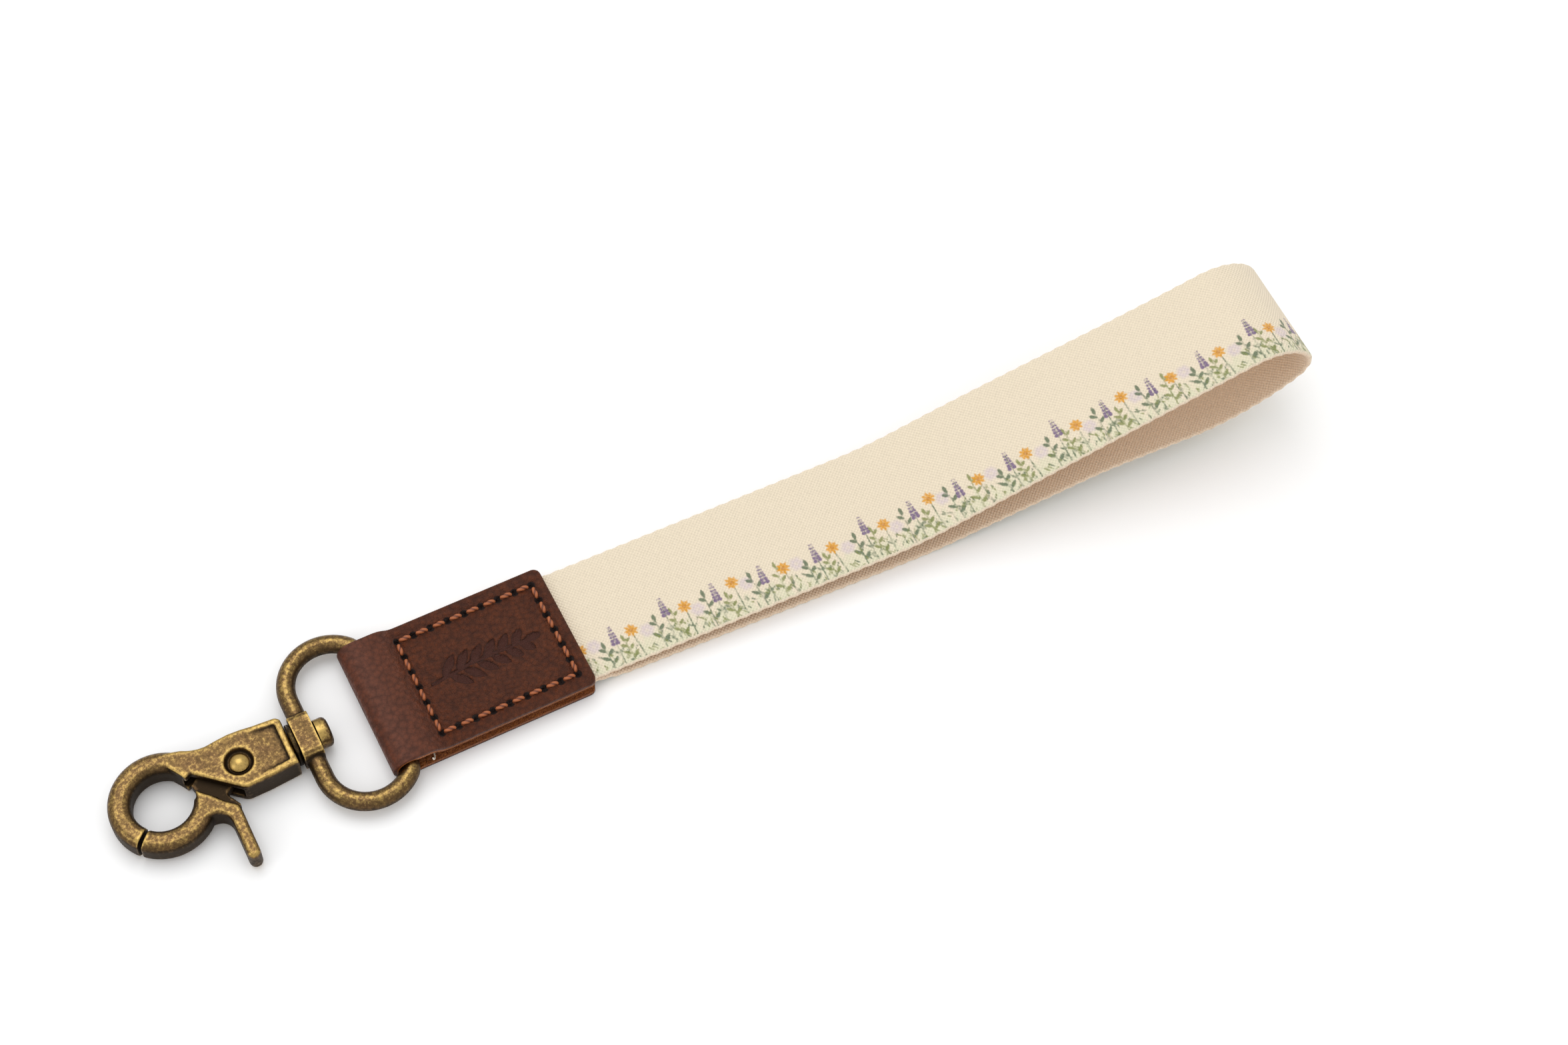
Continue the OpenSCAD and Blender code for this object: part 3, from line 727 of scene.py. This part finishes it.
# %% Helpers for the castings
def pull_round(bm, rim, pose, steps):
    """Pulls a rim of edges along runs and bends in the XY plane."""
    x, y, heading = pose
    for kind, size, *turn in steps:
        if kind == "run":
            geom = bmesh.ops.extrude_edge_only(bm, edges=rim)["geom"]
            moved = [g for g in geom if isinstance(g, bmesh.types.BMVert)]
            ahead = Vector((math.cos(heading), math.sin(heading), 0)) * size
            x, y = x + ahead.x, y + ahead.y
            bmesh.ops.translate(bm, verts=moved, vec=ahead)
            rim = [g for g in geom if isinstance(g, bmesh.types.BMEdge) and g.is_boundary]
        else:
            angle = math.radians(turn[0])
            cx, cy = x - size * math.sin(heading), y + size * math.cos(heading)
            geom = bmesh.ops.spin(bm, geom=rim, cent=(cx, cy, 0), axis=(0, 0, 1),
                                  dvec=(0, 0, 0), angle=angle, space=Matrix.Identity(4),
                                  steps=max(2, int(abs(turn[0]) / 5)), use_duplicate=False)["geom_last"]
            rim = [g for g in geom if isinstance(g, bmesh.types.BMEdge)]
            heading += angle
            x, y = cx + size * math.sin(heading), cy - size * math.cos(heading)


def lathe(profile, centre, axis, steps=48):
    """A closed turned solid. The profile is (distance along the axis, radius)."""
    bm = bmesh.new()
    axis = Vector(axis)
    out = Vector((0, 0, 1)) if abs(axis.z) < 0.5 else Vector((1, 0, 0))
    verts = [bm.verts.new(Vector(centre) + axis * a + out * r) for a, r in profile]
    edges = [bm.edges.new(pair) for pair in zip(verts, verts[1:])]
    bmesh.ops.spin(bm, geom=verts + edges, cent=centre, axis=axis, dvec=(0, 0, 0),
                   angle=2 * math.pi, space=Matrix.Identity(4), steps=steps, use_merge=True,
                   use_duplicate=False)
    bmesh.ops.remove_doubles(bm, verts=bm.verts, dist=0.001)
    bmesh.ops.recalc_face_normals(bm, faces=bm.faces)
    return bm


def plate(outline, low, high, soft=0.0):
    """An upright plate on an outline, whose upper and lower edges are rounded by `soft` mm."""
    bm = bmesh.new()
    face = bm.faces.new([bm.verts.new((x, y, low)) for x, y in outline])
    raised = bmesh.ops.extrude_face_region(bm, geom=[face])["geom"]
    bmesh.ops.translate(bm, verts=[g for g in raised if isinstance(g, bmesh.types.BMVert)],
                        vec=(0, 0, high - low))
    bmesh.ops.recalc_face_normals(bm, faces=bm.faces)
    if soft:
        rims = [e for e in bm.edges if abs(e.verts[0].co.z - e.verts[1].co.z) < 0.001]
        bmesh.ops.bevel(bm, geom=rims, offset=soft, segments=4, profile=0.5, affect="EDGES",
                        material=-1, clamp_overlap=True)
    bmesh.ops.triangulate(bm, faces=[f for f in bm.faces if len(f.verts) > 4])
    return bm


def loose_object(bm, name):
    """A helper object, which isn't kept."""
    mesh = bpy.data.meshes.new(name)
    bm.to_mesh(mesh)
    bm.free()
    made = bpy.data.objects.new(name, mesh)
    bpy.context.collection.objects.link(made)
    return made


def cast(base, joined, cuts, grain, rounds):
    """One casting: solids joined and cut, remeshed to faces `grain` mm wide, and smoothed."""
    whole = loose_object(base, "pattern")
    helpers = []
    for operation, solids in (("UNION", joined), ("DIFFERENCE", cuts)):
        for solid in solids:
            helpers.append(loose_object(solid, "core"))
            step = whole.modifiers.new(operation, "BOOLEAN")
            step.operation = operation
            step.object = helpers[-1]
            step.solver = "EXACT"
    remesh = whole.modifiers.new("skin", "REMESH")
    remesh.mode = "VOXEL"
    remesh.voxel_size = grain
    smooth = whole.modifiers.new("soft", "SMOOTH")
    smooth.iterations = rounds
    mesh = bpy.data.meshes.new_from_object(whole.evaluated_get(bpy.context.evaluated_depsgraph_get()))
    for helper in [whole] + helpers:
        bpy.data.objects.remove(helper)
    bm = bmesh.new()
    bm.from_mesh(mesh)
    bpy.data.meshes.remove(mesh)
    return bm


def keep_wear_and_shade(bm, reach, depth=0.0, polish=0.0):
    """Marks on each vertex how far it stands proud of its surroundings, in tenths of a mm, and
    how level it is, which the shader uses for painted shade on upright walls and painted light
    on level tops. Surfaces less than `depth` from the middle plane are marked for painted shade,
    and `polish` is added where the whole piece is rubbed."""
    bm.verts.index_update()
    bm.normal_update()
    places = np.array([v.co for v in bm.verts])
    normals = np.array([v.normal for v in bm.verts])
    ends = np.array([[e.verts[0].index, e.verts[1].index] for e in bm.edges])
    count = np.bincount(ends.ravel(), minlength=len(places))[:, None]
    eased = places.copy()
    for _ in range(reach):
        total = np.zeros_like(eased)
        for axis in range(3):
            total[:, axis] += np.bincount(ends[:, 0], eased[ends[:, 1], axis], len(places))
            total[:, axis] += np.bincount(ends[:, 1], eased[ends[:, 0], axis], len(places))
        eased = 0.4 * eased + 0.6 * total / count
    proud = np.sum((places - eased) * normals, axis=1) * 10
    rub, flat = bm.verts.layers.float.new("rub"), bm.verts.layers.float.new("flat")
    for i, vert in enumerate(bm.verts):
        vert[rub] = proud[i] + polish
        # Faces closer than `depth` to the middle plane, deep between the cheeks, fade to painted shade over
        # 0.8 mm
        clear_of_slot_shade = min(max((abs(vert.co.z - PIN_Z) - depth) / 0.8, 0.0), 1.0) if depth else 1.0
        vert[flat] = abs(normals[i][2]) * clear_of_slot_shade - 0.9 * (1 - clear_of_slot_shade)


# %% [markdown]
# ## The antique brass
# The castings are plated with brass, blackened, and rubbed back in a tumbler. Edges and
# crowns come out bright and warm, hollows keep the dark patina, and broad faces stay
# mottled. Each casting's vertices say how proud they stand, so the shader can put the
# bright metal where a hand or a neighbour would rub it. Upright walls and faces deep
# between the cheeks are pushed towards the dark colour as painted shade, and level tops
# are painted a little lighter as painted light.

# %% Antique brass material
def antique_brass(name, bright, body, warm, patina_and_shade):
    """Brass from polished crowns over a mottled body to a dark patina in the hollows, with
    painted shade on upright walls and deep faces and painted light on level tops.
    """
    made, tree, shader = new_material(name)
    where = add(tree, "TexCoord", {}).outputs["Object"]
    proud = add(tree, "Attribute", {}, attribute_name="rub").outputs["Fac"]
    level = add(tree, "Attribute", {}, attribute_name="flat").outputs["Fac"]
    mottle = add(tree, "TexNoise", {"Vector": where, "Scale": 1500.0, "Detail": 6.0, "Roughness": 0.75})
    brushed = add(tree, "TexNoise", {"Vector": where, "Scale": 4500.0, "Detail": 2.0})
    clouds = add(tree, "TexNoise", {"Vector": where, "Scale": 300.0, "Detail": 2.0})
    shift = add(tree, "MapRange", {"Value": mottle, "From Min": 0.32, "From Max": 0.68, "To Min": -0.95,
                                   "To Max": 0.5})
    # Painted light and shade: level tops are lifted towards the bright metal, while upright walls and faces
    # deep between the cheeks sink towards the dark colour
    painted_light_and_shade = add(tree, "MapRange", {"Value": level, "To Min": -1.2, "To Max": 0.35})
    amount = add(tree, "Math", {0: proud, 1: painted_light_and_shade}, operation="ADD")
    amount = add(tree, "Math", {0: amount, 1: shift}, operation="ADD")
    wear_shade_mix = add(tree, "MapRange", {"Value": amount, "From Min": -1.1, "From Max": 0.3})
    polish_and_top_light = add(tree, "MapRange", {"Value": amount, "From Min": 0.25, "From Max": 1.2})
    plated = add(tree, "Mix", {FACTOR: clouds, COLOUR_A: body, COLOUR_B: warm}, data_type="RGBA")
    colour = add(tree, "Mix", {FACTOR: wear_shade_mix, COLOUR_A: patina_and_shade, COLOUR_B: plated.outputs[COLOUR_OUT]},
                 data_type="RGBA")
    colour = add(tree, "Mix", {FACTOR: polish_and_top_light, COLOUR_A: colour.outputs[COLOUR_OUT], COLOUR_B: bright},
                 data_type="RGBA")
    gloss = add(tree, "MapRange", {"Value": wear_shade_mix, "To Min": 0.6, "To Max": 0.3})
    relief = add(tree, "Bump", {"Height": brushed, "Strength": 0.3, "Distance": 0.00005})
    tree.links.new(colour.outputs[COLOUR_OUT], shader.inputs["Base Color"])
    tree.links.new(gloss.outputs[0], shader.inputs["Roughness"])
    tree.links.new(relief.outputs[0], shader.inputs["Normal"])
    shader.inputs["Metallic"].default_value = 1.0
    return made


brass = antique_brass("antiqued_brass_plate", "#b89a5a", "#6f5a35", "#654b36", "#382d21")
# A darker copy of the same brass: painted shade for the collar's dark end face
dark_brass = antique_brass("brass_plate_painted_shade", "#7c683e", "#3d3220", "#33281e", "#15110c")
print("metals:", brass.name, dark_brass.name)

# %% [markdown]
# ## The oval ring
# The ring is 3.7 mm wire bent to an oval, with a square boss cast on its front bar for
# the swivel. The wire starts as one circle that is pulled round the whole oval.

# %% The ring
WIRE_R = WIRE_D / 2
END_R, END_Y, TURN_R, TURN_A = 8.65, 8.9, 2.6, 45.0
FRONT_X = -33.428
BOSS_L, BOSS_W, BOSS_H = 4.1, 9.7, 6.2
boss_x = FRONT_X - 0.1 - BOSS_L / 2
turn_y = END_Y + (END_R - TURN_R) * math.sin(math.radians(TURN_A))

bm = bmesh.new()
bmesh.ops.create_circle(bm, segments=40, radius=WIRE_R)
bmesh.ops.rotate(bm, verts=bm.verts, matrix=Matrix.Rotation(math.pi / 2, 3, "X"))
bmesh.ops.translate(bm, verts=bm.verts, vec=(BAR_X, -turn_y, PIN_Z))
pull_round(bm, list(bm.edges), (BAR_X, -turn_y, math.pi / 2), [
    ("run", 2 * turn_y), ("bend", TURN_R, TURN_A), ("bend", END_R, 180 - TURN_A), ("run", 2 * END_Y),
    ("bend", END_R, 180 - TURN_A), ("bend", TURN_R, TURN_A)])
bmesh.ops.remove_doubles(bm, verts=bm.verts, dist=0.01)
bmesh.ops.recalc_face_normals(bm, faces=bm.faces)

boss = bmesh.new()
bmesh.ops.create_cube(boss, size=1.0)
bmesh.ops.scale(boss, vec=(BOSS_L, BOSS_W, BOSS_H), verts=boss.verts)
lengthwise = [e for e in boss.edges if abs(e.verts[0].co.x - e.verts[1].co.x) > 1]
bmesh.ops.bevel(boss, geom=lengthwise, offset=1.2, segments=2, profile=0.5, affect="EDGES", material=-1)
bmesh.ops.translate(boss, verts=boss.verts, vec=(boss_x + BOSS_L / 2, 0, PIN_Z))
bore = lathe([(-1, 0), (-1, 1.77), (BOSS_L + 1, 1.77), (BOSS_L + 1, 0)], (boss_x, 0, PIN_Z), (1, 0, 0))
ring_bm = cast(bm, [boss], [bore], 0.16, 5)
keep_wear_and_shade(ring_bm, 30)
finish_piece(ring_bm, "oval_wire_ring", "ring", brass, "antique_brass", "oval_ring")

# %% [markdown]
# ## The trigger hook
# The hook's body is two cheeks on one casting, with a round-backed band that sweeps about
# the eye. The gate pivots on a rivet between the cheeks and closes the eye. Both bands
# are one rounded section spun about the eye's centre. The cheeks are dished within a
# rim and cut through by the slot for the gate's blade.

# %% Shapes that the body and the gate share
HOOK_T = 6.4
body_end_x = boss_x - 1.1
RIVET = Vector((body_end_x - 10.2, 0, PIN_Z))
EYE = Vector((-15.8, -0.9, 0))
EYE_R, BAND_W = 5.8, 4.4


def round_the_eye(angle, r):
    """A point at a polar place about the eye, in the rivet's own XY plane."""
    return (EYE.x + r * math.cos(math.radians(angle)), EYE.y + r * math.sin(math.radians(angle)))


def eye_band(from_angle, to_angle, thick):
    """A rounded bar bent about the eye between two angles."""
    bm = bmesh.new()
    bmesh.ops.create_grid(bm, x_segments=1, y_segments=1, size=0.5)
    bmesh.ops.scale(bm, vec=(BAND_W, thick, 1), verts=bm.verts)
    bmesh.ops.bevel(bm, geom=list(bm.verts), offset=1.75, segments=7, profile=0.5,
                    affect="VERTICES", material=-1)
    bmesh.ops.rotate(bm, verts=bm.verts, matrix=Matrix.Rotation(math.pi / 2, 3, "X"))
    bmesh.ops.translate(bm, verts=bm.verts, vec=(EYE_R + BAND_W / 2, 0, 0))
    bmesh.ops.rotate(bm, verts=bm.verts, matrix=Matrix.Rotation(math.radians(from_angle), 3, "Z"))
    geom = list(bm.faces) + list(bm.edges) + list(bm.verts)
    bmesh.ops.spin(bm, geom=geom, cent=(0, 0, 0), axis=(0, 0, 1), dvec=(0, 0, 0),
                   angle=math.radians(to_angle - from_angle), space=Matrix.Identity(4),
                   steps=int((to_angle - from_angle) / 3), use_duplicate=False)
    bmesh.ops.translate(bm, verts=bm.verts, vec=RIVET + EYE)
    bmesh.ops.recalc_face_normals(bm, faces=bm.faces)
    return bm


def at_rivet(bm):
    """Moves a solid drawn about the rivet to its place."""
    bmesh.ops.translate(bm, verts=bm.verts, vec=RIVET)
    return bm


def turned(profile, centre=(0, 0, 0), axis=(0, 0, 1)):
    """A turned solid whose centre is given from the rivet."""
    return lathe(profile, RIVET + Vector(centre), axis)


# %% The hook's body
cheek = [(10.2, -5), (4.0, -5.5), (-0.4, -5.6), (-1.3, -5.2), (-9.1, 1.6), round_the_eye(20, 5.5),
         round_the_eye(40, 5.8), round_the_eye(60, 6.4), round_the_eye(80, 7.2), round_the_eye(100, 8.0),
         round_the_eye(80, 9.0), round_the_eye(66, 9.5), (-9.0, 7.0), (-8.1, 6.55), (-7.2, 6.2),
         (-5.9, 5.9), (-4.6, 5.8), (-2.3, 6.1), (0, 6.3), (2.4, 6.2), (4.8, 5.9), (9.4, 5.6), (10.2, 4.9)]

# The plate sinks towards the swivel and ends in a lip, so its cutter is tipped
dish = plate([(8.8, -3.7), (-1.0, -4.6), (-1.0, 5.0), (4.8, 4.7), (8.8, 4.3)], HOOK_T / 2, HOOK_T / 2 + 1)
bmesh.ops.rotate(dish, verts=dish.verts, cent=(2.0, 0, HOOK_T / 2), matrix=Matrix.Rotation(0.08, 3, "Y"))
slot = [(-10.4, 2.2), (-6.5, 4), (3.2, 4), (4.5, 2.8), (4.5, -3.2), (3.4, -4.3), (-0.8, -4.3),
        (-2.4, -8), (-14, -4)]
body_bm = cast(
    at_rivet(plate(cheek, -HOOK_T / 2, HOOK_T / 2, soft=0.55)),
    [eye_band(34, 222, HOOK_T - 0.1)],
    [turned([(-5, 0), (-5, EYE_R), (5, EYE_R), (5, 0)], EYE),
     at_rivet(plate(slot, -1.5, 1.5)),
     at_rivet(dish),
     turned([(-5, 0), (-5, 1.45), (5, 1.45), (5, 0)]),
     turned([(2.2, 0), (2.2, 2.35), (2.9, 2.75), (4, 3.2), (4, 0)]),
     turned([(-5, 0), (-5, 2.1), (-2.6, 2.1), (-2.6, 0)]),
     turned([(6.2, 0), (6.2, 1.75), (12, 1.75), (12, 0)], axis=(1, 0, 0))],
    0.16, 10)
# Faces within 1.3 mm of the middle plane, in the slot between the cheeks, get painted shade
keep_wear_and_shade(body_bm, 30, 1.3)
finish_piece(body_bm, "hook_casting", "hook", brass, "antique_brass", "hook_body")

# %% The gate
LEVER_X, LEVER_W, LEVER_TIP = -4.3, 2.6, -19.2
tip_r = LEVER_W / 2
arch_x, arch_y, arch_r = LEVER_X - tip_r - 2.8, -10.6, 2.8
arch_points = [(arch_x + arch_r * math.cos(math.radians(a)), arch_y + arch_r * math.sin(math.radians(a)))
               for a in range(0, 111, 10)]
shoulder = [(-9.5, -1.5), (-8.1, -2.9), (-6.9, -4.1), (-5.3, -6), (-3.7, -7.4), (-3.15, -8.0),
            (LEVER_X + tip_r, -9.0), (LEVER_X + tip_r, -12), (LEVER_X - tip_r, -12), *arch_points,
            round_the_eye(-62, 9.2), round_the_eye(-50, 7.3), round_the_eye(-20, 6.4)]
blade = [(-2.9, 1.6), (-8.6, 1.3), (-9.8, 0.2), (-9.2, -1.8), (-6.9, -4.4), (-3.4, -8), (-2.7, -7.3),
         (-4.3, -4.4), (-2.2, -2.55)]
lever = [(LEVER_X + tip_r, -9.0)] + [
    (LEVER_X + tip_r * math.cos(math.radians(a)), LEVER_TIP + tip_r + tip_r * math.sin(math.radians(a)))
    for a in range(0, -181, -15)] + [(LEVER_X - tip_r, -9.0)]
gate_t = HOOK_T - 0.6
nose_turn = math.degrees(0.4 / (EYE_R + BAND_W / 2))
gate_bm = cast(
    eye_band(222 + 1.4 * nose_turn, 340, gate_t),
    [at_rivet(plate(shoulder, -gate_t / 2, gate_t / 2, soft=0.7)),
     at_rivet(plate(lever, -gate_t / 2 + 0.03, gate_t / 2 - 0.03, soft=0.8)),
     at_rivet(plate(blade, -1.2, 1.2)),
     turned([(-1.2, 0), (-1.2, 3.4), (0, 3.4), (0, 0)])],
    [turned([(-5, 0), (-5, EYE_R), (5, EYE_R), (5, 0)], EYE),
     turned([(-5, 0), (-5, 1.4), (5, 1.4), (5, 0)])],
    0.15, 12)
# The gate's blade, within 1.3 mm of the middle plane, gets painted shade
keep_wear_and_shade(gate_bm, 30, 1.3)
finish_piece(gate_bm, "gate_casting", "gate", brass, "antique_brass", "gate_lever")

# %% [markdown]
# ## The turned parts
# The rivet, the swivel post and its collar are turned, so each is one profile spun about
# its axis. Small steps at the profile's corners stand for their rounded edges.

# %% Rivet, post and collar
DOME_R, DOME_H = 1.95, 0.9
ball_r = (DOME_R ** 2 + DOME_H ** 2) / 2 / DOME_H
dome = [(2.65 + DOME_H - ball_r + ball_r * math.cos(a), ball_r * math.sin(a))
        for a in np.linspace(math.asin(DOME_R / ball_r), 0, 10)]
rivet_bm = turned([(-3.2, 0), (-3.2, 1.85), (-3.1, 2.0), (-2.65, 2.0), (-2.65, 1.3), (2.65, 1.3), *dome])
keep_wear_and_shade(rivet_bm, 1, polish=1.3)
finish_piece(rivet_bm, "gate_pivot_rivet", "hook", brass, "antique_brass", "gate_rivet")

head_x = boss_x + BOSS_L + 0.15
post_shape = [(-9.1, 0), (-9.1, 1.6), (-9.0, 1.7), (0, 1.7), (0, 2.8), (0.1, 3.0), (1.7, 3.0),
              (2.05, 2.9), (2.35, 2.65), (2.55, 2.2), (2.6, 1.7), (2.6, 0)]
post_bm = lathe(post_shape, (head_x, 0, PIN_Z), (1, 0, 0))
keep_wear_and_shade(post_bm, 1, polish=0.2)
finish_piece(post_bm, "swivel_pin", "hook", brass, "antique_brass", "swivel_post")

collar_bm = lathe([(0, 1.73), (0, 4.1), (0.1, 4.2), (0.6, 4.2), (0.7, 4.1), (0.7, 1.73), (0, 1.73)],
                  (body_end_x + 0.2, 0, PIN_Z), (1, 0, 0))
keep_wear_and_shade(collar_bm, 1)
# The collar wears the darker copy of the brass, as painted shade
finish_piece(collar_bm, "swivel_collar", "hook", dark_brass, "dark_brass", "swivel_washer")

# %% [markdown]
# ## The gate's spring
# A coil of spring steel hides between the cheeks and keeps the gate shut. Its CAD solid
# already has the right shape, so it only gets its finish: drawn wire, grey and satin.

# %% Spring steel
steel, tree, shader = new_material("drawn_spring_steel")
where = add(tree, "TexCoord", {}).outputs["Object"]
drawn = add(tree, "TexNoise", {"Vector": where, "Scale": 4000.0, "Detail": 2.0})
tone = add(tree, "Mix", {FACTOR: drawn, COLOUR_A: "#77746c", COLOUR_B: "#a8a59c"}, data_type="RGBA")
tree.links.new(tone.outputs[COLOUR_OUT], shader.inputs["Base Color"])
shader.inputs["Metallic"].default_value = 1.0
shader.inputs["Roughness"].default_value = 0.38
spring = bpy.data.objects["gate_spring"]
spring.data.materials.clear()
spring.data.materials.append(steel)
